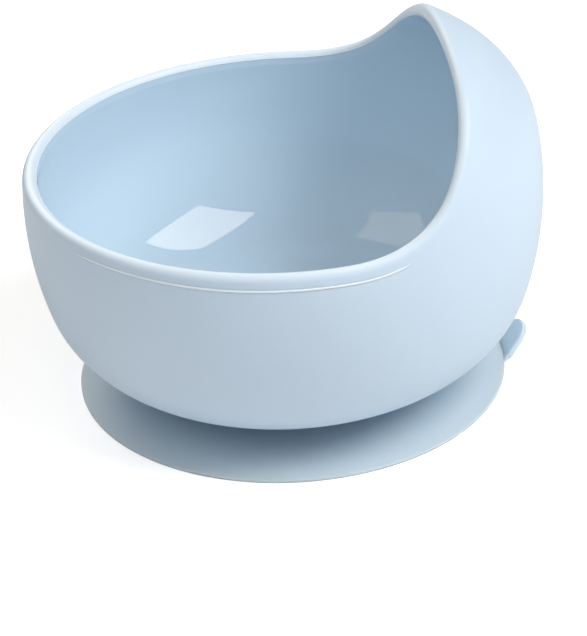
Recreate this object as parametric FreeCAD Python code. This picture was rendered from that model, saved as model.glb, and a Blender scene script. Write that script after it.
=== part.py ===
"""Suction bowl for a baby's high chair, in millimetres.

A soft, thick-walled bowl with one high wall stands on a separate suction base. The base's
round stud presses into a socket under the bowl's floor. Its shallow cup is pressed down on
a table and holds by suction, and a small tab at its edge peels it off again.

+Z is up, z = 0 is the table, the bowl's axis of revolution is Z, and the high wall and the
tab are on the +X side. The XZ plane is the plane of symmetry.
"""
import FreeCAD, Part
import math
import os

Vector = FreeCAD.Vector

# Bowl: outside form, three arcs that meet tangentially
BODY_RADIUS = 62.5          # widest point of the belly
UNDERSIDE = 7.5             # the bowl's flat underside above the table
HEEL_RADIUS = 26.3          # arc that rounds the underside into the belly
BELLY_RADIUS = 85.0         # arc of the nearly upright belly
CROWN_RADIUS = 25.0         # arc that turns the high wall inwards over the bowl
HEEL_TURN = 16.3            # degrees below level where the heel meets the belly
CROWN_TURN = 10.5           # degrees above level where the belly meets the crown

# Bowl: wall, floor and lip
WALL = 3.6                  # even wall thickness
FLOOR_SKIN = 2.6            # floor left above the stud's socket
INNER_HEEL_RADIUS = 32.0    # arc that rounds the floor into the inner wall
LIP_ROUND = 0.48            # each lip edge's round, as a share of the wall (0.5 is full round)

# Bowl: the mouth, a level rim that sweeps up into the high wall
RIM_HEIGHT = 59.5           # top of the level rim above the table
SWEEP_START_X = 8.5         # where the rim leaves the level
SWEEP_START_PULL = 25.2     # how far the sweep stays close to level
SWEEP_END_X = 42.1          # the sweep's end, past the top of the wall
SWEEP_END_HEIGHT = 92.6
SWEEP_END_PULL = 21.0       # how far the sweep stays close to its end direction
SWEEP_END_LEAN = 20.0       # degrees from upright, leaning to the back of the wall

# Stud and socket that join the bowl to its base
STUD_RADIUS = 14.6
STUD_HEIGHT = 4.2
STUD_EDGE = 0.8             # chamfer that leads the stud in
STUD_RINGS = 2              # fine grip rings round the stud
GRIP_RING_HEIGHT = 0.4      # how far a grip ring stands out of the stud
GRIP_RING_SLOPE = 0.35      # rise of its two sloping flanks
FIT_CLEARANCE = 0.08        # between a grip ring and the socket's wall
SOCKET_HEADROOM = 0.3       # air above the stud
SOCKET_EDGE = 0.5           # chamfer at the socket's mouth

# Suction base: hub, skirt and sealing lip
SEAL_RADIUS = 53.1          # outer edge of the sealing lip
SEAL_EDGE = 0.8             # thickness at that edge
SEAL_EDGE_BREAK = 0.25      # its two broken corners
SEAL_LAND = 3.5             # width of the flat ring that lies on the table
SEAL_LIP_WIDTH = 8.0        # the part of the cup that stays down when the bowl is pressed
HUB_RADIUS = 24.0
CUP_HEIGHT = 3.2            # the cup's ceiling above the table
SKIRT_ROOT = 1.8            # skirt thickness where it meets the hub
HUB_NECK = 2.0              # the hub's sloping shoulder above the skirt

# Pull tab beside the edge of the sealing lip
TAB_HALF_WIDTH = 7.1        # at the bend line
TAB_LENGTH = 7.1            # from the bend line to the tip
TAB_TAPER = 25.0            # degrees that each side leans in towards the round tip
TAB_THICKNESS = 1.4
TAB_TILT = 44.0             # degrees above level, as moulded
TAB_BEND_HEIGHT = 1.1       # bend line above the table
TAB_GAP = 0.2               # free space between the lip's edge and the rolled root of the tab
TAB_EDGE_ROUND = 0.45       # softens the tongue's outline

PAST = 10.0                 # cutting tools run this far past what they cut
TOUCHING = 1e-4             # things closer than this touch


# ---------------------------------------------------------------- helpers

def at(x, z):
    """A point of the XZ plane."""
    return Vector(x, 0, z)


def polar(centre, radius, degrees):
    """The point at an angle above level on a circle of the XZ plane."""
    angle = math.radians(degrees)
    return at(centre.x + radius * math.cos(angle), centre.z + radius * math.sin(angle))


def line(start, end):
    return Part.LineSegment(start, end).toShape()


def arc(centre, radius, from_degrees, to_degrees):
    """Arc of the XZ plane between two angles above level."""
    middle = polar(centre, radius, (from_degrees + to_degrees) / 2)
    start = polar(centre, radius, from_degrees)
    end = polar(centre, radius, to_degrees)
    return Part.Arc(start, middle, end).toShape()


def revolve(edges):
    """Solid of revolution about Z from the edges of a closed outline."""
    face = Part.Face(Part.Wire(edges))
    return Part.makeSolid(face.revolve(Vector(0, 0, 0), Vector(0, 0, 1), 360))


def polygon(points):
    """Edges of a closed outline with straight sides."""
    return [line(a, b) for a, b in zip(points, points[1:] + points[:1])]


# ---------------------------------------------------------------- bowl

def belly_centre():
    rise = HEEL_RADIUS + (BELLY_RADIUS - HEEL_RADIUS) * math.sin(math.radians(HEEL_TURN))
    return at(BODY_RADIUS - BELLY_RADIUS, UNDERSIDE + rise)


def crown_centre():
    return polar(belly_centre(), BELLY_RADIUS - CROWN_RADIUS, CROWN_TURN)


def heel_centre():
    return polar(belly_centre(), BELLY_RADIUS - HEEL_RADIUS, -HEEL_TURN)


def socket_depth():
    return STUD_HEIGHT + SOCKET_HEADROOM


def socket_radius():
    return STUD_RADIUS + GRIP_RING_HEIGHT + FIT_CLEARANCE


def floor_height():
    return UNDERSIDE + socket_depth() + FLOOR_SKIN


def outer_form():
    """The whole outside of the bowl before its mouth is cut."""
    heel, belly, crown = heel_centre(), belly_centre(), crown_centre()
    top = at(0, crown.z + CROWN_RADIUS)
    bottom = at(0, UNDERSIDE)
    return revolve([
        line(bottom, at(heel.x, UNDERSIDE)),
        arc(heel, HEEL_RADIUS, -90, -HEEL_TURN),
        arc(belly, BELLY_RADIUS, -HEEL_TURN, CROWN_TURN),
        arc(crown, CROWN_RADIUS, CROWN_TURN, 90),
        line(polar(crown, CROWN_RADIUS, 90), top),
        line(top, bottom),
    ])


def inner_form():
    """The hollow: the outside offset by the wall, with a thicker, level floor."""
    belly, crown, floor = belly_centre(), crown_centre(), floor_height()
    belly_radius, crown_radius = BELLY_RADIUS - WALL, CROWN_RADIUS - WALL
    # the inner heel touches the floor and the inner belly
    reach = belly_radius - INNER_HEEL_RADIUS
    turn = math.degrees(math.asin((belly.z - floor - INNER_HEEL_RADIUS) / reach))
    heel = polar(belly, reach, -turn)
    top = at(0, crown.z + crown_radius)
    bottom = at(0, floor)
    return revolve([
        line(bottom, at(heel.x, floor)),
        arc(heel, INNER_HEEL_RADIUS, -90, -turn),
        arc(belly, belly_radius, -turn, CROWN_TURN),
        arc(crown, crown_radius, CROWN_TURN, 90),
        line(polar(crown, crown_radius, 90), top),
        line(top, bottom),
    ])


def mouth_tool():
    """Everything above the rim: a level cut that sweeps up into the high wall."""
    side = BODY_RADIUS + PAST
    start = at(SWEEP_START_X, RIM_HEIGHT)
    end = at(SWEEP_END_X, SWEEP_END_HEIGHT)
    lean = math.radians(SWEEP_END_LEAN)
    sweep = Part.BezierCurve()
    sweep.setPoles([
        start,
        start + at(SWEEP_START_PULL, 0),
        end - at(SWEEP_END_PULL * math.sin(lean), SWEEP_END_PULL * math.cos(lean)),
        end,
    ])
    roof = SWEEP_END_HEIGHT + PAST
    outline = Part.Wire([
        line(at(-side, RIM_HEIGHT), start),
        sweep.toShape(),
        line(end, at(SWEEP_END_X, roof)),
        line(at(SWEEP_END_X, roof), at(-side, roof)),
        line(at(-side, roof), at(-side, RIM_HEIGHT)),
    ])
    outline.translate(Vector(0, -side, 0))
    return Part.Face(outline).extrude(Vector(0, 2 * side, 0))


def lip_edges(shell, tool):
    """The two edge loops, outer and inner, that the mouth cut left on the wall."""
    cut_faces = []
    for face in shell.Faces:
        low_u, high_u, low_v, high_v = face.ParameterRange
        middle = Part.Vertex(face.valueAt((low_u + high_u) / 2, (low_v + high_v) / 2))
        if middle.distToShape(tool.Shells[0])[0] < TOUCHING:
            cut_faces.append(face)
    edges = [edge for face in cut_faces for edge in face.Edges]
    return [edge for edge in edges if sum(edge.isSame(other) for other in edges) == 1]


def socket():
    """The recess under the floor that takes the base's stud."""
    radius, mouth = socket_radius(), socket_radius() + SOCKET_EDGE
    return revolve(polygon([
        at(0, UNDERSIDE - PAST),
        at(mouth, UNDERSIDE - PAST),
        at(mouth, UNDERSIDE),
        at(radius, UNDERSIDE + SOCKET_EDGE),
        at(radius, UNDERSIDE + socket_depth()),
        at(0, UNDERSIDE + socket_depth()),
    ]))


def bowl():
    tool = mouth_tool()
    shell = outer_form().cut(inner_form()).cut(tool)
    shell = shell.makeFillet(WALL * LIP_ROUND, lip_edges(shell, tool))
    return shell.cut(socket())


# ---------------------------------------------------------------- suction base

def split_radius():
    """Where the sealing lip ends and the flexing skirt begins."""
    return SEAL_RADIUS - SEAL_LIP_WIDTH


def cup_top(radius):
    """Height of the cup's upper surface, an even cone from the edge up to the hub."""
    share = (SEAL_RADIUS - radius) / (SEAL_RADIUS - HUB_RADIUS)
    return SEAL_EDGE + share * (CUP_HEIGHT + SKIRT_ROOT - SEAL_EDGE)


def cup_ceiling(radius):
    """Height of the cup's underside, level with the table under the sealing land."""
    land = SEAL_RADIUS - SEAL_LAND
    return CUP_HEIGHT * max(0.0, land - radius) / (land - HUB_RADIUS)


def seal_lip():
    """The outer ring of the cup, which lies flat on the table."""
    split, corner = split_radius(), SEAL_EDGE_BREAK
    return revolve(polygon([
        at(SEAL_RADIUS - SEAL_LAND, 0),
        at(SEAL_RADIUS - corner, 0),
        at(SEAL_RADIUS, corner),
        at(SEAL_RADIUS, SEAL_EDGE - corner),
        at(SEAL_RADIUS - corner, cup_top(SEAL_RADIUS - corner)),
        at(split, cup_top(split)),
        at(split, cup_ceiling(split)),
    ]))


def skirt():
    """The thin conical web between the sealing lip and the hub."""
    split = split_radius()
    return revolve(polygon([
        at(split, cup_ceiling(split)),
        at(split, cup_top(split)),
        at(HUB_RADIUS, cup_top(HUB_RADIUS)),
        at(HUB_RADIUS, cup_ceiling(HUB_RADIUS)),
    ]))


def grip_ring(middle):
    """Outline points of one grip ring round the stud, from the bottom up."""
    crest = STUD_RADIUS + GRIP_RING_HEIGHT
    return [
        at(STUD_RADIUS, middle - GRIP_RING_SLOPE),
        at(crest, middle),
        at(STUD_RADIUS, middle + GRIP_RING_SLOPE),
    ]


def hub():
    """The stiff middle of the base, with the stud that holds the bowl."""
    shoulder = min(HUB_NECK, UNDERSIDE - cup_top(HUB_RADIUS))
    stud_top = UNDERSIDE + STUD_HEIGHT
    first, last = UNDERSIDE + SOCKET_EDGE, stud_top - STUD_EDGE
    pitch = (last - first) / STUD_RINGS
    rings = [grip_ring(first + pitch * (count + 0.5)) for count in range(STUD_RINGS)]
    return revolve(polygon([
        at(0, CUP_HEIGHT),
        at(HUB_RADIUS, CUP_HEIGHT),
        at(HUB_RADIUS, cup_top(HUB_RADIUS)),
        at(HUB_RADIUS - shoulder, cup_top(HUB_RADIUS) + shoulder),
        at(HUB_RADIUS - shoulder, UNDERSIDE),
        at(STUD_RADIUS, UNDERSIDE),
        *[point for ring in rings for point in ring],
        at(STUD_RADIUS, stud_top - STUD_EDGE),
        at(STUD_RADIUS - STUD_EDGE, stud_top),
        at(0, stud_top),
    ]))


def tab_bend():
    """The line that the tab bends about, just outside the sealing lip."""
    return at(SEAL_RADIUS + TAB_GAP + TAB_THICKNESS / 2, TAB_BEND_HEIGHT)


def tongue_outline():
    """The tab laid flat: a straight root, two sides that lean in and a round tip they touch."""
    lean = math.radians(TAB_TAPER)
    sine, cosine = math.sin(lean), math.cos(lean)
    tip = (TAB_HALF_WIDTH * cosine - TAB_LENGTH * sine) / (1 - sine)
    centre = TAB_LENGTH - tip
    right_root, left_root = Vector(0, -TAB_HALF_WIDTH, 0), Vector(0, TAB_HALF_WIDTH, 0)
    right_touch = Vector(centre + tip * sine, -tip * cosine, 0)
    left_touch = Vector(centre + tip * sine, tip * cosine, 0)
    return Part.Wire([
        line(right_root, right_touch),
        Part.Arc(right_touch, Vector(TAB_LENGTH, 0, 0), left_touch).toShape(),
        line(left_touch, left_root),
        line(left_root, right_root),
    ])


def release_tab():
    """The upturned tongue with soft edges and a rolled root."""
    radius = TAB_THICKNESS / 2
    outline = tongue_outline()
    outline.translate(Vector(0, 0, -radius))
    plate = Part.Face(outline).extrude(Vector(0, 0, TAB_THICKNESS))
    level = [edge for edge in plate.Edges if edge.BoundBox.ZLength < TOUCHING]
    rims = [edge for edge in level if edge.BoundBox.XMax > TOUCHING]
    plate = plate.makeFillet(TAB_EDGE_ROUND, rims)
    root = Part.makeCylinder(radius, 2 * TAB_HALF_WIDTH, Vector(0, -TAB_HALF_WIDTH, 0), Vector(0, 1, 0))
    tab = plate.fuse(root).removeSplitter()
    tab.rotate(Vector(0, 0, 0), Vector(0, 1, 0), -TAB_TILT)
    tab.translate(tab_bend())
    return tab


# ---------------------------------------------------------------- export

PARTS = {
    "bowl": bowl,
    "base_hub": hub,
    "base_skirt": skirt,
    "seal_lip": seal_lip,
    "release_tab": release_tab,
}

os.makedirs("parts", exist_ok=True)
for name, make in PARTS.items():
    shape = make()
    shape.exportStep("parts/" + name + ".step")
    box = shape.BoundBox
    print(name, len(shape.Solids), shape.isValid(), round(shape.Volume, 1),
          [round(v, 3) for v in (box.XMin, box.YMin, box.ZMin, box.XMax, box.YMax, box.ZMax)])
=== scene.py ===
"""Looks of the suction bowl: a silicone bowl with one high wall, seated on its own suction base.

Lengths are in metres. +Z is up, z = 0 is the table, and the high wall and the release tab are on
the +X side. The bowl's axis of revolution is Z, and the XZ plane is its plane of symmetry.
"""
import math

import bmesh
import bpy
import numpy as np
from mathutils import Matrix, Quaternion, Vector


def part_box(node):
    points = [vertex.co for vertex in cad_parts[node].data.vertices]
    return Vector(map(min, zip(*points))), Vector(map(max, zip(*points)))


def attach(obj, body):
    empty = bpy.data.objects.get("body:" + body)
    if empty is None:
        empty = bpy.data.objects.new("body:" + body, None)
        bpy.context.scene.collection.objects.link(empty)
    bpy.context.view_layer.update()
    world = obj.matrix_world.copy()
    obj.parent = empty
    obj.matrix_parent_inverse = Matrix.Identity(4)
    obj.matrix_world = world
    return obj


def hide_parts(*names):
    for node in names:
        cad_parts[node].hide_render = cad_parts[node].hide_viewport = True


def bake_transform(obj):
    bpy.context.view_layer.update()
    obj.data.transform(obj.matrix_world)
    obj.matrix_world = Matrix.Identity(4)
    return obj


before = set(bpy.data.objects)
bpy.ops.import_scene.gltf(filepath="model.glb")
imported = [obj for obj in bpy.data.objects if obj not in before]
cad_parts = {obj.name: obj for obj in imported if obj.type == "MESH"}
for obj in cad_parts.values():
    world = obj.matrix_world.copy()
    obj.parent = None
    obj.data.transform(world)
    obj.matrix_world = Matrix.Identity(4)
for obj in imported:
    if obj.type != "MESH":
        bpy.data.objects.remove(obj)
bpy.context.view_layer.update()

MM = 0.001
QUARTER_TURN = math.pi / 2
WHITE = (1, 1, 1)

# Bowl: three arcs that meet tangentially, from the underside up
BODY_RADIUS = 62.5 * MM
HEEL_ARC = 26.3 * MM
BELLY_ARC = 85.0 * MM
CROWN_ARC = 25.0 * MM
HEEL_TURN = math.radians(-16.3)      # how far above level the wall faces there
CROWN_TURN = math.radians(10.5)
WALL = 3.6 * MM
FLOOR_HEIGHT = 14.6 * MM
INNER_HEEL_ARC = 32.0 * MM

# Bowl: the mouth, a level rim that sweeps up into the high wall, seen from the side
RIM_HEIGHT = 59.5 * MM
SWEEP_START = np.array([8.5, 59.5]) * MM
SWEEP_END = np.array([42.1, 92.6]) * MM
SWEEP_START_PULL = 25.2 * MM
SWEEP_END_PULL = 21.0 * MM
SWEEP_END_LEAN = math.radians(20)

# Socket under the floor, and the stud in it
SOCKET_RADIUS = 15.08 * MM
SOCKET_DEPTH = 4.5 * MM
SOCKET_EDGE = 0.5 * MM
SOCKET_EDGE_SOFT = (0.06 * MM, 0.2)  # across, and as a share of its height, at each end of it
SOCKET_EDGE_REACH = (0.15 * MM, 0.2 * MM)            # up the side and out below, past those ends
SOCKET_TOP_ROUND = (0.4 * MM, 0.1 * MM)              # across and down, from its ceiling to its side
CEILING_RADII = (0.3 * MM, 5 * MM, 10 * MM, 13 * MM, SOCKET_RADIUS - SOCKET_TOP_ROUND[0])
UNDERSIDE_RADII = (20 * MM, 27 * MM)
UNDERSIDE_MARGIN = 1 * MM            # the last level ring lies this far inside the heel
STUD_RADIUS = 14.6 * MM
STUD_EDGE = 0.8 * MM
STUD_EDGE_ROUNDS = (0.3 * MM, 0.5 * MM)              # below and above its bevel
STUD_FOOT_ROUND = 0.25 * MM          # where it rises from the seat
SEAT_RADIUS = 22.0 * MM              # the level ring that the bowl rests on
SEAT_ROUNDS = (1.9 * MM, 0.35 * MM)                  # at its foot on the cup, and at its top
GRIP_RING_COUNT = 2
GRIP_RING_SECTION = 0.4 * MM         # radius of each ring's round section, half of it in the stud

# Suction cup and its tab
SEAL_EDGE = 0.8 * MM
SEAL_LAND = 3.5 * MM
SEAL_ROUNDS = (0.28 * MM, 0.34 * MM)                 # at the bottom and top of the outer edge
LAND_ROUND = 2 * MM                  # where the flat land turns up into the hollow
HOLLOW_ROUND = 20 * MM               # where the hollow turns level under the hub
SKIN_DIP = (3 * MM, 0.3 * MM)        # across and down, where the cup's top runs in under the hub
SATIN_EDGE = 0.5 * MM                # the outer edge that isn't polished underneath
HUB_FOOT = 2.5 * MM                  # how far the hub's foot runs out inside the cup
HUB_FOOT_SUNK = 0.03 * MM            # how far its rim stays under the cup's top
HUB_FLOOR = 1 * MM                   # how far it stays above the hollow
TAB_HALF_WIDTH = 7.1 * MM            # at the bend
TAB_LENGTH = 7.1 * MM                # from the bend to the tip
TAB_TAPER = math.radians(25)         # how far each side leans in towards the round tip
TAB_THICKNESS = 1.4 * MM
TAB_TILT = math.radians(44)
TAB_BEND = np.array([54.0, 1.1]) * MM
TAB_ROOT = 3.8 * MM                  # how far the tongue runs back into the cup
TAB_ROOT_HEIGHT = 0.45 * MM
TAB_ROOT_THICKNESS = 0.5 * MM
TAB_FLARE = 2.8 * MM                 # how much wider each side gets where it joins the cup
TAB_FLARE_RUN = 1.7 * MM
TAB_SOFT = 1.1 * MM                  # half the length of its soft bend
TAB_EDGE_ROUND = 0.5 * MM
TAB_FINE_FROM = 2.4 * MM             # how far back from the bend it is divided finely
TAB_TIP_SHARE = 3.2 * MM             # the part of the length that is divided finer still, to the tip

# Moulding lines: one round the outside below the lip, one where the lip meets the polished inside
BEAD_DROP = 1.7 * MM                 # below the lip's centre line, in front
BEAD_RISE = 0.45 * MM                # how much nearer to the lip it runs at the low end
BEAD_RISE_OVER = (math.radians(100), math.radians(140))
BEAD_RADIUS = 0.23 * MM
BEAD_SUNK = 0.05 * MM
BEAD_ENDS = (math.radians(66), math.radians(147))    # on each flank, from the high wall to the low end
BEAD_FADE = math.radians(6)
BEAD_LEAST = 0.1                     # beyond its ends it stays under the surface
GROOVE_DEPTH = 0.08 * MM             # fine hollows above and below the outer line
GROOVE_OFFSET = 0.38 * MM
GROOVE_SPREAD = 0.16 * MM
INNER_EDGE_TURN = math.radians(150)  # how far round the lip its inner edge lies
INNER_EDGE_FALL = 0.9 * MM           # where the polished face takes over below that edge
INNER_EDGE_SHARES = (0.03, 0.12, 0.4, 0.8)           # of the way down to the polished face
INNER_BEAD_RADIUS = 0.15 * MM
LIP_CREASE = 0.03                    # radians that the crisp inner edge takes up

# Silicone: tints, gloss, and the sizes of its grain and clouds
BOWL_TINT = (0.59, 0.715, 0.845)
BOWL_DEEP_TINT = (0.575, 0.702, 0.833)
INSIDE_SHADE_TINT = (0.555, 0.7, 0.82)     # painted shade: the polished hollow is tinted darker and deeper than the satin outside, for the shade and bounced light inside it
PAINTED_HIGHLIGHT_TINT = (0.84, 0.92, 0.98)      # painted highlight: the paler colour of the moulding lines and the lip, standing in for the light they catch
BASE_TINT = (0.572, 0.698, 0.805)
BASE_DEEP_TINT = (0.56, 0.685, 0.795)
LIP_POLISH_AND_SHADE = 0.25                    # between the satin outside, 0, and the polished inside, 1, in gloss and in painted shade
LIP_PAINTED_HIGHLIGHT = 0.42                     # how much of the painted highlight the lip gets
LIP_BLEND = 2                        # both come in over one part in this many of the lip's round
BOWL_ROUGHNESS = (0.46, 0.015)       # where satin, and where polished
BASE_ROUGHNESS = (0.5, 0.16)
CLOUD_ROUGHNESS = 0.015              # how much rougher the clouds are
SILICONE_IOR = 1.43
BOWL_TRANSLUCENCY = (0.15, 1.5 * MM)                 # how much light goes in, and how far
BASE_TRANSLUCENCY = (0.8, 4 * MM)                    # the cup and its tab are thin
GRAIN_SIZE = 0.35 * MM
GRAIN_DEPTH = 0.02 * MM
GRAIN_STRENGTH = (0.25, 0.02)        # where satin, and where polished
GRAIN_DETAIL = 3.0
CLOUD_SIZE = 25 * MM
CLOUD_DETAIL = 2.0

# Table and room
TABLE_REACH = 4.0
TABLE_COLOUR = (0.9, 0.9, 0.9)
TABLE_GLOW = 0.45                    # to the camera, close to the bowl
FAR_GLOW = 1.0                       # to the camera, past the lamps' reach
GLOW_REACH = (0.2, 0.7)              # how far from the middle it starts to rise, and is full
ROOM_LIGHT = 0.09
MIDDLE = (0, 0, 0.05)                # where every softbox but the two windows aims

# Softboxes: place, aim, size, turn in degrees, power in watts, colour, and whether they are
# seen as a reflection, light the silicone, or both
SOFTBOXES = {
    "window_right": ((0.295, 0.067, 0.646), (-0.019, 0.040, 0.021), (0.307, 0.407), 65.6, 2.5,
                     (1.0, 0.85, 0.72), "reflection"),
    "window_left": ((-0.307, 0.238, 0.598), (0.030, 0.032, 0.020), (0.247, 0.345), 85.1, 0.5,
                    (1.0, 0.8, 0.55), "both"),
    "key": ((0.75, -0.35, 0.95), MIDDLE, (0.7, 0.7), 0, 12.9, (1.0, 0.985, 0.965), "light"),
    "back": ((-0.3, 1.1, 0.6), MIDDLE, (0.9, 0.6), 0, 4.5, WHITE, "both"),
    "fill_left": ((-0.75, -0.35, 0.95), MIDDLE, (0.7, 0.7), 0, 2.9, WHITE, "light"),
    "fill_front": ((0.1, -1.2, 0.35), MIDDLE, (0.9, 0.6), 0, 1.1, WHITE, "light"),
    "fill_top": ((0.15, -0.55, 1.05), MIDDLE, (0.9, 0.7), 0, 2.2, WHITE, "light"),
}

# Camera: the photograph's viewing angle
VIEW_CENTRE = (0, 0, 0.045)
VIEW_DISTANCE = 0.6
VIEW_AZIMUTH = math.radians(-4.84)
VIEW_HEIGHT = math.radians(27.05)
VIEW_ROLL = math.radians(-3.06)
VIEW_PAN = math.radians(-0.2155)
VIEW_TILT = math.radians(-2.570)
VIEW_LENS = 140.1
SENSOR_WIDTH = 36

# Heights and radii that the frame gives
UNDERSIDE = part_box("bowl")[0].z
SEAL_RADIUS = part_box("seal_lip")[1].x
HUB_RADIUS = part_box("base_hub")[1].x
CUP_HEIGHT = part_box("base_hub")[0].z
STUD_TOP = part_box("base_hub")[1].z
SKIRT_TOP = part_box("base_skirt")[1].z

# How finely the pieces are divided
COLUMNS = 400                        # around the mouth
LIP_STEPS = 22                       # over the round of the lip
BAND_DROPS = np.concatenate([[0.3], np.arange(0.56, 2.4, 0.08), [2.7, 3.2, 4, 5, 6.2]]) * MM
INNER_DROPS = np.array([0.9, 1.3, 1.9, 2.7, 3.7, 4.9, 6.2]) * MM
FLOOR_SHARES = (0.97, 0.85, 0.7, 0.5, 0.3, 0.1)
OUTSIDE_STEPS = 46
INSIDE_STEPS = 46
SWEEP_STEPS = 400                    # along the mouth's sweep, seen from the side
SEARCH_AZIMUTHS = 1800               # where the mouth's line is looked for, round the bowl
SEARCH_TURNS = 1600                  # and up its wall
TURNED_STEPS = 256
ROUND_STEPS = 6
BEAD_STEPS = 10
INNER_BEAD_STEPS = 8
RING_SECTION_STEPS = 12
TAB_ROOT_STEPS = 4
TAB_BODY_STEPS = 56
TAB_TIP_STEPS = 22
TAB_CORNER_STEPS = 7
TAB_FLAT_STEPS = 17
MERGE = 0.001 * MM


# ---------------------------------------------------------------- meshes

def make_piece(name, points, faces, material, smooth=True):
    """A mesh object at the origin from numpy points and lists of corners."""
    mesh = bpy.data.meshes.new(name)
    mesh.from_pydata([tuple(p) for p in points], [], faces)
    mesh.validate()
    mesh.polygons.foreach_set("use_smooth", [smooth] * len(mesh.polygons))
    mesh.materials.append(material)
    piece = bpy.data.objects.new(name, mesh)
    bpy.context.scene.collection.objects.link(piece)
    return piece


def close_up(piece):
    """Merges what coincides and turns every face outwards."""
    shape = bmesh.new()
    shape.from_mesh(piece.data)
    bmesh.ops.remove_doubles(shape, verts=shape.verts, dist=MERGE)
    bmesh.ops.recalc_face_normals(shape, faces=shape.faces)
    shape.to_mesh(piece.data)
    shape.free()


def ring_faces(rows, columns):
    """Quads between closed rings of points that follow each other."""
    faces = []
    for row in range(rows - 1):
        base = row * columns
        for column in range(columns):
            after = (column + 1) % columns
            above = base + columns
            faces.append((base + column, base + after, above + after, above + column))
    return faces


def capped_faces(rows, columns):
    """Faces of closed rings, and fans from the first and last ring to the two poles after them."""
    faces = ring_faces(rows, columns)
    first_pole, last_ring = rows * columns, (rows - 1) * columns
    for column in range(columns):
        after = (column + 1) % columns
        faces.append((first_pole, after, column))
        faces.append((first_pole + 1, last_ring + column, last_ring + after))
    return faces


def set_layer(mesh, name, values):
    """One number at each point of a mesh, under a name that a node can read."""
    layer = mesh.attributes.new(name, "FLOAT", "POINT")
    layer.data.foreach_set("value", np.asarray(values, np.float32))


# ---------------------------------------------------------------- the form of the bowl

def belly_centre():
    """Radius and height of the belly arc's centre."""
    rise = HEEL_ARC - (BELLY_ARC - HEEL_ARC) * math.sin(HEEL_TURN)
    return np.array([BODY_RADIUS - BELLY_ARC, UNDERSIDE + rise])


def toward(turn):
    """The flat direction at an angle above level."""
    return np.array([math.cos(turn), math.sin(turn)])


def wall_arcs(depth):
    """(centre, radius, from turn, to turn) of the wall's arcs, `depth` inside its outer face."""
    belly = belly_centre()
    heel = belly + (BELLY_ARC - HEEL_ARC) * toward(HEEL_TURN)
    crown = belly + (BELLY_ARC - CROWN_ARC) * toward(CROWN_TURN)
    return [
        (heel, HEEL_ARC - depth, -QUARTER_TURN, HEEL_TURN),
        (belly, BELLY_ARC - depth, HEEL_TURN, CROWN_TURN),
        (crown, CROWN_ARC - depth, CROWN_TURN, QUARTER_TURN),
    ]


def hollow_arcs():
    """The arcs of the inner face, whose own heel rounds the floor into the wall."""
    _, belly, crown = wall_arcs(WALL)
    reach = belly[1] - INNER_HEEL_ARC
    turn = -math.asin((belly[0][1] - FLOOR_HEIGHT - INNER_HEEL_ARC) / reach)
    centre = belly[0] + reach * toward(turn)
    heel = (centre, INNER_HEEL_ARC, -QUARTER_TURN, turn)
    return [heel, (belly[0], belly[1], turn, CROWN_TURN), crown]


def on_arcs(arcs, turn):
    """Radius and height where the wall faces `turn` above level."""
    radius, height = np.zeros_like(turn), np.zeros_like(turn)
    for centre, size, start, end in arcs:
        here = (turn >= start) & (turn <= end)
        radius[here] = centre[0] + size * np.cos(turn[here])
        height[here] = centre[1] + size * np.sin(turn[here])
    return radius, height


def arc_travel(arcs):
    """The turns where arcs meet, and the length travelled along them up to each."""
    turns = [arcs[0][2]] + [end for _, _, _, end in arcs]
    steps = [size * (end - start) for _, size, start, end in arcs]
    return np.array(turns), np.concatenate([[0], np.cumsum(steps)])


def turn_of(radius, height):
    """How far above level the wall faces at the nearest place to a point."""
    (heel, *_), (belly, *_), (crown, *_) = wall_arcs(0)
    turn = np.arctan2(height - belly[1], radius - belly[0])
    on_crown = np.arctan2(height - crown[1], radius - crown[0])
    on_heel = np.arctan2(height - heel[1], radius - heel[0])
    return np.where(turn > CROWN_TURN, on_crown, np.where(turn < HEEL_TURN, on_heel, turn))


def eased(share):
    """From 0 to 1 with a soft start and end."""
    share = np.clip(share, 0, 1)
    return share * share * (3 - 2 * share)


def in_space(azimuth, radius, height):
    """Points at their azimuths, radii and heights about Z."""
    return np.stack([radius * np.cos(azimuth), radius * np.sin(azimuth), height], axis=-1)


def mouth_line(drop):
    """Side view of the mouth, `drop` below it: x places in rising order, and the height at each."""
    lean = np.array([math.sin(SWEEP_END_LEAN), math.cos(SWEEP_END_LEAN)])
    a, d = SWEEP_START, SWEEP_END
    b, c = a + np.array([SWEEP_START_PULL, 0]), d - SWEEP_END_PULL * lean
    t = np.linspace(0, 1, SWEEP_STEPS)[:, None]
    sweep = a * (1 - t) ** 3 + 3 * b * t * (1 - t) ** 2 + 3 * c * t ** 2 * (1 - t) + d * t ** 3
    along = np.gradient(sweep, axis=0)
    along /= np.linalg.norm(along, axis=1)[:, None]
    sweep = sweep + drop * np.stack([along[:, 1], -along[:, 0]], axis=1)
    past_the_bowl = -2 * BODY_RADIUS
    x = np.concatenate([[past_the_bowl], sweep[:, 0]])
    z = np.concatenate([[RIM_HEIGHT - drop], sweep[:, 1]])
    return x, z


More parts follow.
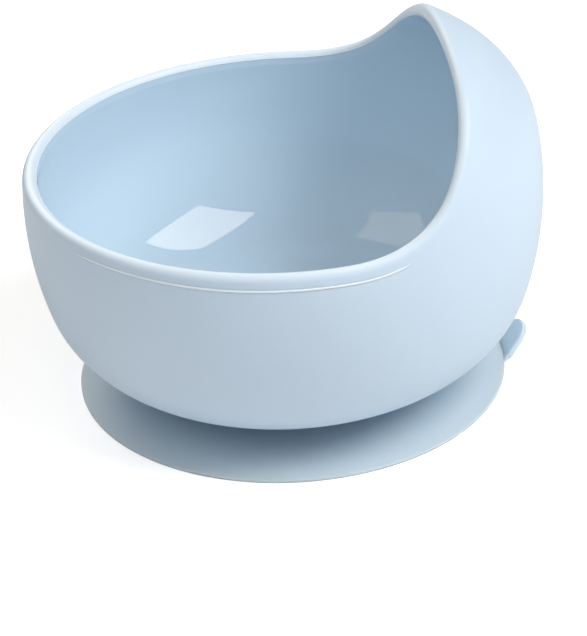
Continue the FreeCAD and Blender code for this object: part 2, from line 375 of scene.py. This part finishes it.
def lip_centre():
    """The lip's centre line, evenly divided: points, azimuths and the wall's turn at each."""
    azimuth = np.linspace(-math.pi, math.pi, SEARCH_AZIMUTHS, endpoint=False)
    turn = np.linspace(0, QUARTER_TURN, SEARCH_TURNS)
    radius, height = on_arcs(wall_arcs(WALL / 2), turn)
    x, z = mouth_line(WALL / 2)
    over = height[None, :] - np.interp(radius[None, :] * np.cos(azimuth)[:, None], x, z)
    first = np.argmax(over > 0, axis=1)
    rows = np.arange(len(azimuth))
    share = over[rows, first - 1] / (over[rows, first - 1] - over[rows, first])
    turn = turn[first - 1] + share * (turn[1] - turn[0])
    points = in_space(azimuth, *on_arcs(wall_arcs(WALL / 2), turn))
    gaps = np.linalg.norm(np.roll(points, -1, axis=0) - points, axis=1)
    travel = np.concatenate([[0], np.cumsum(gaps)])
    even = np.linspace(0, travel[-1], COLUMNS, endpoint=False)
    azimuth = np.interp(even, travel, np.append(azimuth, math.pi))
    turn = np.interp(even, travel, np.append(turn, turn[0]))
    return in_space(azimuth, *on_arcs(wall_arcs(WALL / 2), turn)), azimuth, turn


def lip_frame():
    """The lip's centre line with its outward and upward directions."""
    centre, azimuth, turn = lip_centre()
    outward = in_space(azimuth, np.cos(turn), np.sin(turn))
    along = np.roll(centre, -1, axis=0) - np.roll(centre, 1, axis=0)
    along /= np.linalg.norm(along, axis=1)[:, None]
    upward = np.cross(outward, along)
    upward /= np.linalg.norm(upward, axis=1)[:, None]
    return centre, outward, upward


def below_lip(drop):
    """Azimuth and turn of the wall's middle, `drop` below the lip's centre line."""
    centre, _, upward = lip_frame()
    point = centre - np.reshape(drop, (-1, 1)) * upward
    radius = np.hypot(point[:, 0], point[:, 1])
    return np.arctan2(point[:, 1], point[:, 0]), turn_of(radius, point[:, 2])


def down_the_wall(arcs, azimuth, turn, steps):
    """Rings from a given turn down to where the arcs start level, evenly spaced in each column."""
    turns, travel = arc_travel(arcs)
    top = np.interp(turn, turns, travel)
    rings = []
    for step in range(1, steps + 1):
        place = np.interp(top * (1 - step / steps), travel, turns)
        rings.append(in_space(azimuth, *on_arcs(arcs, place)))
    return rings


def disc_rings(azimuth, radii, height):
    """Level rings of the bowl's columns, one for each radius."""
    return [in_space(azimuth, np.full(COLUMNS, r), np.full(COLUMNS, height)) for r in radii]


def line_swell(azimuth):
    """How thick the outer moulding line is, and how strong its painted highlight: full along each
    flank, and gone past its ends.
    """
    first, last = BEAD_ENDS
    full = eased((abs(azimuth) - first) / BEAD_FADE) * eased((last - abs(azimuth)) / BEAD_FADE)
    return BEAD_LEAST + (1 - BEAD_LEAST) * full


def line_drop(azimuth):
    """How far below the lip's centre line the outer moulding line runs."""
    first, last = BEAD_RISE_OVER
    return BEAD_DROP - BEAD_RISE * eased((abs(azimuth) - first) / (last - first))


def grooved(drop, azimuth, turn):
    """A ring of the outer face, with the fine hollows that border the moulding line."""
    away = (abs(drop - line_drop(azimuth)) - GROOVE_OFFSET) / GROOVE_SPREAD
    radius, height = on_arcs(wall_arcs(0), turn)
    depth = GROOVE_DEPTH * np.exp(-away * away) * line_swell(azimuth)
    return in_space(azimuth, radius - depth * np.cos(turn), height - depth * np.sin(turn))


def on_lip(lean, size=WALL / 2):
    """A ring of the lip's round, `lean` radians over from its outer side."""
    centre, outward, upward = lip_frame()
    return centre + size * (math.cos(lean) * outward + math.sin(lean) * upward)


def inner_edge():
    """Rings from the lip's crisp inner edge down to the polished face."""
    edge = on_lip(INNER_EDGE_TURN)
    azimuth, turn = below_lip(INNER_EDGE_FALL)
    foot = in_space(azimuth, *on_arcs(hollow_arcs(), turn))
    return [edge + (foot - edge) * share for share in INNER_EDGE_SHARES]


def bowl_rings():
    """Closed rings of points over the whole bowl, from the socket's middle to the floor's."""
    band = [below_lip(drop) for drop in BAND_DROPS]
    outside = [grooved(drop, *place) for drop, place in zip(BAND_DROPS, band)]
    outside += down_the_wall(wall_arcs(0), *band[-1], OUTSIDE_STEPS)
    hollow = hollow_arcs()
    inner_band = [below_lip(drop) for drop in INNER_DROPS]
    inside = inner_edge() + [in_space(a, *on_arcs(hollow, t)) for a, t in inner_band]
    inside += down_the_wall(hollow, *inner_band[-1], INSIDE_STEPS)

    leans = np.append(np.linspace(0, INNER_EDGE_TURN - LIP_CREASE, LIP_STEPS), INNER_EDGE_TURN)
    lip = [on_lip(lean) for lean in leans]

    azimuth = band[-1][0]
    ceiling = UNDERSIDE + SOCKET_DEPTH
    bevel_end = SOCKET_RADIUS + SOCKET_EDGE
    heel_radius, floor_radius = wall_arcs(0)[0][0][0], hollow[0][0][0]
    soft, soft_share = SOCKET_EDGE_SOFT
    side_reach, level_reach = SOCKET_EDGE_REACH
    level = [bevel_end + level_reach, *UNDERSIDE_RADII, heel_radius - UNDERSIDE_MARGIN]
    under = disc_rings(azimuth, CEILING_RADII, ceiling)
    under += disc_rings(azimuth, [SOCKET_RADIUS], ceiling - SOCKET_TOP_ROUND[1])
    under += disc_rings(azimuth, [SOCKET_RADIUS], UNDERSIDE + SOCKET_EDGE + side_reach)
    under += disc_rings(azimuth, [SOCKET_RADIUS + soft], UNDERSIDE + SOCKET_EDGE * (1 - soft_share))
    under += disc_rings(azimuth, [bevel_end - soft], UNDERSIDE + SOCKET_EDGE * soft_share)
    under += disc_rings(azimuth, level, UNDERSIDE)
    floor = disc_rings(azimuth, [floor_radius * share for share in FLOOR_SHARES], FLOOR_HEIGHT)
    return under, outside[::-1], lip, inside, floor


def bowl_piece(material):
    """The whole bowl as one closed skin: satin outside, a lip with a painted highlight and a polished
    hollow with painted shade.
    """
    under, outside, lip, inside, floor = bowl_rings()
    rings = under + outside + lip + inside + floor
    poles = np.array([[0, 0, UNDERSIDE + SOCKET_DEPTH], [0, 0, FLOOR_HEIGHT]])
    points = np.concatenate(rings + [poles])
    piece = make_piece("bowl_shell", points, capped_faces(len(rings), COLUMNS), material)

    polish_and_shade, ridge_and_painted_highlight = np.zeros(len(points)), np.zeros(len(points))
    lip_from = (len(under) + len(outside)) * COLUMNS
    lip_to = lip_from + len(lip) * COLUMNS
    over_lip = np.repeat(eased(np.linspace(0, LIP_BLEND, len(lip))), COLUMNS)
    # painted shade: the lip takes a little of the inside's darker tint, with its gloss
    polish_and_shade[lip_from:lip_to] = LIP_POLISH_AND_SHADE * over_lip
    # painted highlight: the lip is painted partly paler
    ridge_and_painted_highlight[lip_from:lip_to] = LIP_PAINTED_HIGHLIGHT * over_lip
    # painted shade: the polished hollow takes the darker inside tint
    polish_and_shade[lip_to:] = 1
    socket_pole = len(rings) * COLUMNS
    polish_and_shade[socket_pole] = 0
    set_layer(piece.data, "polish_and_shade", polish_and_shade)
    set_layer(piece.data, "ridge_and_painted_highlight", ridge_and_painted_highlight)
    close_up(piece)
    return piece


# ---------------------------------------------------------------- geometry nodes

class Tree:
    """A geometry node tree with named inputs, one geometry in and one out."""

    def __init__(self, name, **inputs):
        self.tree = bpy.data.node_groups.new(name, "GeometryNodeTree")
        sockets = self.tree.interface
        sockets.new_socket("Geometry", in_out="INPUT", socket_type="NodeSocketGeometry")
        sockets.new_socket("Geometry", in_out="OUTPUT", socket_type="NodeSocketGeometry")
        for label, kind in inputs.items():
            socket = "NodeSocket" + kind
            sockets.new_socket(label.replace("_", " "), in_out="INPUT", socket_type=socket)
        self.start = self.tree.nodes.new("NodeGroupInput").outputs
        self.end = self.tree.nodes.new("NodeGroupOutput").inputs

    def node(self, kind, links, **settings):
        """A new node's outputs. `links` gives each of its inputs a value or another output."""
        node = self.tree.nodes.new(kind)
        for key, value in settings.items():
            setattr(node, key, value)
        for key, value in links.items():
            if isinstance(value, bpy.types.NodeSocket):
                self.tree.links.new(value, node.inputs[key])
            else:
                node.inputs[key].default_value = value
        return node.outputs

    def finish(self, geometry):
        """Ends the tree in Realize Instances, smooth faces and Set Material."""
        whole = self.node("GeometryNodeRealizeInstances", {"Geometry": geometry})[0]
        smooth = self.node("GeometryNodeSetShadeSmooth", {"Geometry": whole})[0]
        painted = self.node("GeometryNodeSetMaterial",
                            {"Geometry": smooth, "Material": self.start["Finish"]})[0]
        self.tree.links.new(painted, self.end[0])
        return self.tree


def turned_tree():
    """Turns an outline about Z. Its x is the radius less the turning radius, and its y is down."""
    tree = Tree("turned_form", Turning_Radius="Float", Steps_Around="Int", Finish="Material")
    circle = tree.node("GeometryNodeCurvePrimitiveCircle",
                       {"Resolution": tree.start["Steps Around"],
                        "Radius": tree.start["Turning Radius"]})
    outline = tree.node("GeometryNodeMeshToCurve", {"Mesh": tree.start["Geometry"]})
    skin = tree.node("GeometryNodeCurveToMesh",
                     {"Curve": circle[0], "Profile Curve": outline[0]})
    closed = tree.node("GeometryNodeMergeByDistance", {"Geometry": skin[0], "Distance": MERGE})
    return tree.finish(closed[0])


def bead_tree():
    """A round bead along a path, as thick at each point as the number its points carry, which also
    sets its painted highlight.
    """
    tree = Tree("moulded_bead", Bead_Radius="Float", Steps_Around="Int", Finish="Material")
    path = tree.node("GeometryNodeMeshToCurve", {"Mesh": tree.start["Geometry"]})
    ridge_and_painted_highlight = tree.node("GeometryNodeInputNamedAttribute", {"Name": "ridge_and_painted_highlight"}, data_type="FLOAT")
    section = tree.node("GeometryNodeCurvePrimitiveCircle",
                        {"Resolution": tree.start["Steps Around"],
                         "Radius": tree.start["Bead Radius"]})
    bead = tree.node("GeometryNodeCurveToMesh",
                     {"Curve": path[0], "Profile Curve": section[0], "Scale": ridge_and_painted_highlight[0]})
    return tree.finish(bead[0])


def grown(name, points, tree, values, attribute=None, closed=False):
    """The piece that a node tree grows from a line of points."""
    mesh = bpy.data.meshes.new(name)
    count = len(points)
    edges = [(i, i + 1) for i in range(count - 1)] + ([(count - 1, 0)] if closed else [])
    mesh.from_pydata([tuple(p) for p in points], edges, [])
    if attribute:
        set_layer(mesh, *attribute)
    piece = bpy.data.objects.new(name, mesh)
    bpy.context.scene.collection.objects.link(piece)
    modifier = piece.modifiers.new("form", "NODES")
    modifier.node_group = tree
    for item in tree.interface.items_tree:
        if item.in_out == "INPUT" and item.name in values:
            modifier[item.identifier] = values[item.name]
    evaluation = bpy.context.evaluated_depsgraph_get()
    grown_mesh = bpy.data.meshes.new_from_object(piece.evaluated_get(evaluation))
    piece.modifiers.remove(modifier)
    piece.data = grown_mesh
    grown_mesh.name = name
    close_up(piece)
    return piece


def rings_tree():
    """Equal round rings about Z, one above the other."""
    tree = Tree("grip_rings", Count="Int", Ring_Radius="Float", Section_Radius="Float",
                First_Height="Float", Pitch="Float", Steps_Around="Int", Finish="Material")
    circle = tree.node("GeometryNodeCurvePrimitiveCircle",
                       {"Resolution": tree.start["Steps Around"],
                        "Radius": tree.start["Ring Radius"]})
    section = tree.node("GeometryNodeCurvePrimitiveCircle",
                        {"Resolution": RING_SECTION_STEPS,
                         "Radius": tree.start["Section Radius"]})
    ring = tree.node("GeometryNodeCurveToMesh", {"Curve": circle[0], "Profile Curve": section[0]})
    first = tree.node("ShaderNodeCombineXYZ", {"Z": tree.start["First Height"]})
    pitch = tree.node("ShaderNodeCombineXYZ", {"Z": tree.start["Pitch"]})
    places = tree.node("GeometryNodeMeshLine",
                       {"Count": tree.start["Count"], "Start Location": first[0],
                        "Offset": pitch[0]})
    rings = tree.node("GeometryNodeInstanceOnPoints",
                      {"Points": places[0], "Instance": ring[0]})
    return tree.finish(rings[0])


# ---------------------------------------------------------------- pieces of the base

def rounded(corners):
    """Outline points from (radius, height, round) corners, with each corner's round as an arc."""
    points = []
    for i, (x, z, size) in enumerate(corners):
        here = np.array([x, z])
        if size == 0 or i in (0, len(corners) - 1):
            points.append(here)
            continue
        before = np.array(corners[i - 1][:2]) - here
        after = np.array(corners[i + 1][:2]) - here
        before, after = before / np.linalg.norm(before), after / np.linalg.norm(after)
        half = math.acos(np.clip(before @ after, -1, 1)) / 2
        middle = (before + after) / np.linalg.norm(before + after)
        centre = here + middle * size / math.sin(half)
        start, end = here + before * size / math.tan(half), here + after * size / math.tan(half)
        first = math.atan2(*(start - centre)[::-1])
        turn = (math.atan2(*(end - centre)[::-1]) - first + math.pi) % (2 * math.pi) - math.pi
        for step in range(ROUND_STEPS + 1):
            points.append(centre + size * toward(first + turn * step / ROUND_STEPS))
    return np.array(points)


def cup_top(radius):
    """Height of the cup's upper face, an even cone from its edge up to the hub."""
    share = (SEAL_RADIUS - radius) / (SEAL_RADIUS - HUB_RADIUS)
    return SEAL_EDGE + share * (SKIRT_TOP - SEAL_EDGE)


def turned(name, outline, tree, material, polish_and_shade):
    """A solid of revolution from an outline that starts and ends on the axis."""
    line = np.stack([outline[:, 0] - SEAL_RADIUS, -outline[:, 1], np.zeros(len(outline))], axis=1)
    values = {"Turning Radius": SEAL_RADIUS, "Steps Around": TURNED_STEPS, "Finish": material}
    return grown(name, line, tree, values, ("polish_and_shade", polish_and_shade))


def suction_cup(tree, material):
    """The thin cup: a flat land on the table, a hollow behind it and an even cone on top."""
    land = SEAL_RADIUS - SEAL_LAND
    inside_top = cup_top(HUB_RADIUS) - SKIN_DIP[1]
    outline = rounded([
        (0, CUP_HEIGHT, 0),
        (HUB_RADIUS, CUP_HEIGHT, HOLLOW_ROUND),
        (land, 0, LAND_ROUND),
        (SEAL_RADIUS, 0, SEAL_ROUNDS[0]),
        (SEAL_RADIUS, SEAL_EDGE, SEAL_ROUNDS[1]),
        (HUB_RADIUS, cup_top(HUB_RADIUS), 0),
        (HUB_RADIUS - SKIN_DIP[0], inside_top, 0),
        (0, inside_top, 0),
    ])
    under = (outline[:, 1] <= CUP_HEIGHT) & (outline[:, 0] < SEAL_RADIUS - SATIN_EDGE)
    under &= np.arange(len(outline)) < np.argmax(outline[:, 0])
    return turned("suction_cup", outline, tree, material, under.astype(float))


def hub_stud(tree, material):
    """The hub that carries the bowl, with the stud that grips inside the bowl's socket."""
    foot, floor = HUB_RADIUS + HUB_FOOT, CUP_HEIGHT + HUB_FLOOR
    outline = rounded([
        (0, floor, 0),
        (foot, floor, 0),
        (foot, cup_top(foot) - HUB_FOOT_SUNK, 0),
        (SEAT_RADIUS, cup_top(SEAT_RADIUS), SEAT_ROUNDS[0]),
        (SEAT_RADIUS, UNDERSIDE, SEAT_ROUNDS[1]),
        (STUD_RADIUS, UNDERSIDE, STUD_FOOT_ROUND),
        (STUD_RADIUS, STUD_TOP - STUD_EDGE, STUD_EDGE_ROUNDS[0]),
        (STUD_RADIUS - STUD_EDGE, STUD_TOP, STUD_EDGE_ROUNDS[1]),
        (0, STUD_TOP, 0),
    ])
    return turned("hub_stud", outline, tree, material, np.zeros(len(outline)))


def tab_half_width(along):
    """Half the tongue's width `along` it from its bend: flared root, tapered sides, round tip."""
    sine, cosine = math.sin(TAB_TAPER), math.cos(TAB_TAPER)
    tip = (TAB_HALF_WIDTH * cosine - TAB_LENGTH * sine) / (1 - sine)
    centre = TAB_LENGTH - tip
    flare = TAB_HALF_WIDTH + TAB_FLARE * np.clip(-along / TAB_FLARE_RUN, 0, 1) ** 2
    taper = TAB_HALF_WIDTH - along * sine / cosine
    round_tip = np.sqrt(np.maximum(tip ** 2 - (along - centre) ** 2, 0))
    return np.where(along < 0, flare, np.where(along < centre + tip * sine, taper, round_tip))


def tab_half_thickness(along):
    """Half the tongue's thickness: thin inside the cup, full past the bend, round at the tip."""
    grow = eased(1 + along / TAB_FLARE_RUN)
    half = (TAB_ROOT_THICKNESS + (TAB_THICKNESS - TAB_ROOT_THICKNESS) * grow) / 2
    past = np.clip((along - TAB_LENGTH) / TAB_EDGE_ROUND + 1, 0, 1)
    return half - TAB_EDGE_ROUND * (1 - np.sqrt(1 - past ** 2))


def tab_section(width, half):
    """A closed loop of (across, lift) points: flat above and below, with round edges."""
    corner = min(TAB_EDGE_ROUND, width, half)
    side, top = width - corner, half - corner
    loop = []
    corners = ((side, top), (-side, top), (-side, -top), (side, -top))
    for quarter, (across, lift) in enumerate(corners):
        for turn in QUARTER_TURN * (quarter + np.linspace(0, 1, TAB_CORNER_STEPS)):
            loop.append(np.array([across, lift]) + corner * toward(turn))
        if quarter in (0, 2):
            level = half if quarter == 0 else -half
            shares = np.linspace(1, -1, TAB_FLAT_STEPS)[1:-1]
            loop += [np.array([across * share, level]) for share in shares]
    return np.array(loop)


def tab_path(along):
    """Side view of the tongue's middle, from inside the cup's edge round a soft bend to its tip."""
    rise = toward(TAB_TILT)
    knee = TAB_BEND - rise * (TAB_BEND[1] - TAB_ROOT_HEIGHT) / rise[1]
    knee_at = -(TAB_BEND - knee) @ rise
    level = np.array([1.0, 0.0])
    start, end = knee - level * TAB_SOFT, knee + rise * TAB_SOFT
    share = np.clip((along - knee_at + TAB_SOFT) / (2 * TAB_SOFT), 0, 1)[:, None]
    bend = start * (1 - share) ** 2 + 2 * knee * share * (1 - share) + end * share ** 2
    bend += np.minimum(along - knee_at + TAB_SOFT, 0)[:, None] * level
    bend += np.maximum(along - knee_at - TAB_SOFT, 0)[:, None] * rise
    slope = (1 - share) * (knee - start) + share * (end - knee)
    slope /= np.linalg.norm(slope, axis=1)[:, None]
    return bend, np.stack([-slope[:, 1], slope[:, 0]], axis=1)


def release_tab(material):
    """The tongue that peels the cup off the table: soft-edged, rising out of the cup's round rim."""
    root = np.linspace(-TAB_ROOT, -TAB_FINE_FROM, TAB_ROOT_STEPS)[:-1]
    body = np.linspace(-TAB_FINE_FROM, TAB_LENGTH - TAB_TIP_SHARE, TAB_BODY_STEPS)[:-1]
    to_tip = 1 - np.sin(np.linspace(0, QUARTER_TURN, TAB_TIP_STEPS))[:-1]
    rows = np.concatenate([root, body, TAB_LENGTH - TAB_TIP_SHARE * to_tip])
    widths, halves, (path, ups) = tab_half_width(rows), tab_half_thickness(rows), tab_path(rows)
    points = []
    for along, width, half, place, up in zip(rows, widths, halves, path, ups):
        section = tab_section(width, half)
        round_edge = SEAL_RADIUS - np.sqrt(SEAL_RADIUS ** 2 - section[:, 0] ** 2)
        back = round_edge * (1 - eased(1 + along / TAB_FLARE_RUN))
        side_view = place + section[:, 1:] * up
        points.append(np.stack([side_view[:, 0] - back, section[:, 0], side_view[:, 1]], axis=1))
    tip_path, _ = tab_path(np.array([TAB_LENGTH]))
    poles = [points[0].mean(axis=0), np.insert(tip_path[0], 1, 0)]
    faces = capped_faces(len(points), len(points[0]))
    piece = make_piece("release_tongue", np.concatenate(points + [poles]), faces, material)
    close_up(piece)
    return piece


def moulding_bead(tree, material):
    """The fine raised line that the mould leaves round the outside of the lip, painted paler as a
    highlight.
    """
    azimuth, turn = below_lip(line_drop(lip_centre()[1]))
    line = in_space(azimuth, *on_arcs(wall_arcs(BEAD_SUNK), turn))
    values = {"Bead Radius": BEAD_RADIUS, "Steps Around": BEAD_STEPS, "Finish": material}
    return grown("moulding_bead", line, tree, values, ("ridge_and_painted_highlight", line_swell(azimuth)), closed=True)


def inner_bead(tree, material):
    """The finer line along the lip's crisp inner edge, painted paler all along as a highlight."""
    line = on_lip(INNER_EDGE_TURN, WALL / 2 - INNER_BEAD_RADIUS / 2)
    values = {"Bead Radius": INNER_BEAD_RADIUS, "Steps Around": INNER_BEAD_STEPS, "Finish": material}
    return grown("inner_edge_bead", line, tree, values, ("ridge_and_painted_highlight", np.ones(len(line))), closed=True)


def grip_rings(tree, material):
    """The fine rings round the stud that hold it in the socket."""
    first, last = UNDERSIDE + SOCKET_EDGE, STUD_TOP - STUD_EDGE
    pitch = (last - first) / GRIP_RING_COUNT
    values = {
        "Count": GRIP_RING_COUNT,
        "Ring Radius": STUD_RADIUS,
        "Section Radius": GRIP_RING_SECTION,
        "First Height": first + pitch / 2,
        "Pitch": pitch,
        "Steps Around": TURNED_STEPS,
        "Finish": material,
    }
    return grown("stud_grip_rings", [], tree, values)


# ---------------------------------------------------------------- silicone

def skin_group():
    """Fine grain of moulded silicone, and the faint clouds in its colour and gloss."""
    group = bpy.data.node_groups.new("silicone_skin", "ShaderNodeTree")
    for label, kind in (("Place", "Vector"), ("Grain Scale", "Float"), ("Cloud Scale", "Float")):
        group.interface.new_socket(label, in_out="INPUT", socket_type="NodeSocket" + kind)
    for label in ("Grain", "Cloud"):
        group.interface.new_socket(label, in_out="OUTPUT", socket_type="NodeSocketFloat")
    start, end = group.nodes.new("NodeGroupInput"), group.nodes.new("NodeGroupOutput")
    for label, detail in (("Grain", GRAIN_DETAIL), ("Cloud", CLOUD_DETAIL)):
        noise = group.nodes.new("ShaderNodeTexNoise")
        noise.inputs["Detail"].default_value = detail
        group.links.new(start.outputs["Place"], noise.inputs["Vector"])
        group.links.new(start.outputs[label + " Scale"], noise.inputs["Scale"])
        group.links.new(noise.outputs["Fac"], end.inputs[label])
    return group


def mixed(nodes, links, factor, first, second):
    """A colour from `first`, which is a tint or an output, to the tint `second`, by a mask."""
    mix = nodes.new("ShaderNodeMix")
    mix.data_type = "RGBA"
    links.new(factor, mix.inputs["Factor"])
    if isinstance(first, bpy.types.NodeSocket):
        links.new(first, mix.inputs["A"])
    else:
        mix.inputs["A"].default_value = (*first, 1)
    mix.inputs["B"].default_value = (*second, 1)
    return mix.outputs["Result"]


def between(nodes, links, mask, levels):
    """A value that goes from the first of two levels to the second as a mask goes from 0 to 1."""
    level = nodes.new("ShaderNodeMapRange")
    level.inputs["To Min"].default_value, level.inputs["To Max"].default_value = levels
    links.new(mask, level.inputs["Value"])
    return level.outputs["Result"]


def carried(nodes, name):
    """The number that a piece's own points carry under a name."""
    attribute = nodes.new("ShaderNodeAttribute")
    attribute.attribute_name = name
    return attribute.outputs["Fac"]


def silicone(name, skin, tint, deep_tint, polished_shade_tint, roughness, translucency):
    """Moulded silicone: satin, polished with a darker painted shade where one number on its points
    says, and paler as a painted highlight where another says.
    """
    material = bpy.data.materials.new(name)
    material.use_nodes = True
    nodes, links = material.node_tree.nodes, material.node_tree.links
    nodes.clear()
    shader = nodes.new("ShaderNodeBsdfPrincipled")
    output = nodes.new("ShaderNodeOutputMaterial")
    links.new(shader.outputs[0], output.inputs["Surface"])
    place = nodes.new("ShaderNodeTexCoord")
    surface = nodes.new("ShaderNodeGroup")
    surface.node_tree = skin
    links.new(place.outputs["Object"], surface.inputs["Place"])
    surface.inputs["Grain Scale"].default_value = 1 / GRAIN_SIZE
    surface.inputs["Cloud Scale"].default_value = 1 / CLOUD_SIZE
    cloud = surface.outputs["Cloud"]
    polish_and_shade = carried(nodes, "polish_and_shade")

    satin_colour = mixed(nodes, links, cloud, tint, deep_tint)
    # painted shade: darker tint where the points say polished
    colour = mixed(nodes, links, polish_and_shade, satin_colour, polished_shade_tint)
    # painted highlight: paler colour where the points carry it
    with_painted_highlight = mixed(nodes, links, carried(nodes, "ridge_and_painted_highlight"), colour, PAINTED_HIGHLIGHT_TINT)
    links.new(with_painted_highlight, shader.inputs["Base Color"])

    uneven = nodes.new("ShaderNodeMath")
    uneven.operation = "MULTIPLY_ADD"
    uneven.inputs[1].default_value = CLOUD_ROUGHNESS
    links.new(cloud, uneven.inputs[0])
    links.new(between(nodes, links, polish_and_shade, roughness), uneven.inputs[2])
    links.new(uneven.outputs[0], shader.inputs["Roughness"])

    bump = nodes.new("ShaderNodeBump")
    bump.inputs["Distance"].default_value = GRAIN_DEPTH
    links.new(between(nodes, links, polish_and_shade, GRAIN_STRENGTH), bump.inputs["Strength"])
    links.new(surface.outputs["Grain"], bump.inputs["Height"])
    links.new(bump.outputs["Normal"], shader.inputs["Normal"])

    shader.inputs["IOR"].default_value = SILICONE_IOR
    shader.inputs["Subsurface Weight"].default_value = translucency[0]
    shader.inputs["Subsurface Radius"].default_value = (1.0, 1.0, 1.0)
    shader.inputs["Subsurface Scale"].default_value = translucency[1]
    return material


# ---------------------------------------------------------------- table, light and camera

def seen_directly(nodes, links):
    """1 for what the camera sees, straight or through glass, and 0 for light on the object."""
    path = nodes.new("ShaderNodeLightPath")
    seen = nodes.new("ShaderNodeMath")
    seen.operation = "MAXIMUM"
    links.new(path.outputs["Is Camera Ray"], seen.inputs[0])
    links.new(path.outputs["Is Transmission Ray"], seen.inputs[1])
    return seen.outputs[0]


def table_top():
    """A plain pale table: white to the camera, with the object's soft shadow left on it."""
    material = bpy.data.materials.new("pale_table")
    material.use_nodes = True
    nodes, links = material.node_tree.nodes, material.node_tree.links
    nodes.clear()
    output = nodes.new("ShaderNodeOutputMaterial")
    plain = nodes.new("ShaderNodeBsdfDiffuse")
    plain.inputs["Color"].default_value = (*TABLE_COLOUR, 1)
    glow = nodes.new("ShaderNodeEmission")
    glow.inputs["Color"].default_value = (*WHITE, 1)

    place = nodes.new("ShaderNodeTexCoord")
    away = nodes.new("ShaderNodeVectorMath")
    away.operation = "LENGTH"
    links.new(place.outputs["Object"], away.inputs[0])
    level = nodes.new("ShaderNodeMapRange")
    level.inputs["From Min"].default_value, level.inputs["From Max"].default_value = GLOW_REACH
    level.inputs["To Min"].default_value = TABLE_GLOW
    level.inputs["To Max"].default_value = FAR_GLOW
    links.new(away.outputs["Value"], level.inputs["Value"])
    strength = nodes.new("ShaderNodeMath")
    strength.operation = "MULTIPLY"
    links.new(seen_directly(nodes, links), strength.inputs[0])
    links.new(level.outputs["Result"], strength.inputs[1])
    links.new(strength.outputs[0], glow.inputs["Strength"])
    both = nodes.new("ShaderNodeAddShader")
    links.new(plain.outputs[0], both.inputs[0])
    links.new(glow.outputs[0], both.inputs[1])
    links.new(both.outputs[0], output.inputs["Surface"])

    near, far = -TABLE_REACH, TABLE_REACH
    corners = [(near, near, 0), (far, near, 0), (far, far, 0), (near, far, 0)]
    table = make_piece("table_top", corners, [(0, 1, 2, 3)], material, smooth=False)


def softbox(name, place, aim, size, turn, power, colour, role):
    """A rectangular lamp at a place, aimed at a point and turned in its own plane."""
    lamp = bpy.data.lights.new(name, "AREA")
    lamp.shape = "RECTANGLE"
    lamp.size, lamp.size_y = size
    lamp.energy = power
    lamp.color = colour
    holder = bpy.data.objects.new(name, lamp)
    holder.visible_glossy = role != "light"
    holder.visible_diffuse = role != "reflection"
    holder.location = place
    aimed = (Vector(aim) - Vector(place)).to_track_quat("-Z", "Y")
    holder.rotation_euler = (aimed @ Quaternion((0, 0, 1), math.radians(turn))).to_euler()
    bpy.context.scene.collection.objects.link(holder)


def studio():
    """The softboxes in a faintly lit room that looks white to the camera."""
    for name, values in SOFTBOXES.items():
        softbox(name, *values)
    world = bpy.data.worlds.new("studio_room")
    world.use_nodes = True
    nodes, links = world.node_tree.nodes, world.node_tree.links
    nodes.clear()
    output = nodes.new("ShaderNodeOutputWorld")
    room = nodes.new("ShaderNodeBackground")
    room.inputs["Color"].default_value = (*WHITE, 1)
    room.inputs["Strength"].default_value = ROOM_LIGHT
    white = nodes.new("ShaderNodeBackground")
    white.inputs["Color"].default_value = (*WHITE, 1)
    mix = nodes.new("ShaderNodeMixShader")
    links.new(seen_directly(nodes, links), mix.inputs[0])
    links.new(room.outputs[0], mix.inputs[1])
    links.new(white.outputs[0], mix.inputs[2])
    links.new(mix.outputs[0], output.inputs["Surface"])
    bpy.context.scene.world = world


def turned_about(vector, axis, angle):
    """A vector turned about an axis."""
    return Matrix.Rotation(angle, 3, axis) @ vector


def camera():
    """The photograph's view: from the front and above, rolled a little, aimed below its middle."""
    back = Vector((math.sin(VIEW_AZIMUTH) * math.cos(VIEW_HEIGHT),
                   -math.cos(VIEW_AZIMUTH) * math.cos(VIEW_HEIGHT), math.sin(VIEW_HEIGHT)))
    right = Vector((math.cos(VIEW_AZIMUTH), math.sin(VIEW_AZIMUTH), 0))
    place = Vector(VIEW_CENTRE) + VIEW_DISTANCE * back
    right = turned_about(right, back, VIEW_ROLL)
    up = back.cross(right)
    right, back = turned_about(right, up, VIEW_PAN), turned_about(back, up, VIEW_PAN)
    up, back = turned_about(up, right, VIEW_TILT), turned_about(back, right, VIEW_TILT)
    lens = bpy.data.cameras.new("camera")
    lens.lens = VIEW_LENS
    lens.sensor_width = SENSOR_WIDTH
    holder = bpy.data.objects.new("camera", lens)
    turn = Matrix((right, up, back)).transposed()
    holder.matrix_world = Matrix.Translation(place) @ turn.to_4x4()
    bpy.context.scene.collection.objects.link(holder)
    bpy.context.scene.camera = holder


# ---------------------------------------------------------------- the scene

def build():
    """Every piece, with the body it rides on and the CAD nodes it stands in for."""
    skin = skin_group()
    bowl_finish = silicone("bowl_silicone", skin, BOWL_TINT, BOWL_DEEP_TINT, INSIDE_SHADE_TINT,
                           BOWL_ROUGHNESS, BOWL_TRANSLUCENCY)
    base_finish = silicone("base_silicone", skin, BASE_TINT, BASE_DEEP_TINT, BASE_DEEP_TINT,
                           BASE_ROUGHNESS, BASE_TRANSLUCENCY)

    bowl = bowl_piece(bowl_finish)
    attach(bowl, "bowl")
    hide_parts("bowl")

    bead_form = bead_tree()
    for bead in (moulding_bead(bead_form, bowl_finish), inner_bead(bead_form, bowl_finish)):
        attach(bead, "bowl")

    turning = turned_tree()
    cup = suction_cup(turning, base_finish)
    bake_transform(cup)
    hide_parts("seal_lip", "base_skirt")

    stud = hub_stud(turning, base_finish)
    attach(stud, "base_hub")
    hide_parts("base_hub")

    rings = grip_rings(rings_tree(), base_finish)
    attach(rings, "base_hub")

    tongue = release_tab(base_finish)
    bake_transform(tongue)
    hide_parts("release_tab")


build()
table_top()
studio()
camera()
bpy.context.scene.view_settings.view_transform = "Standard"
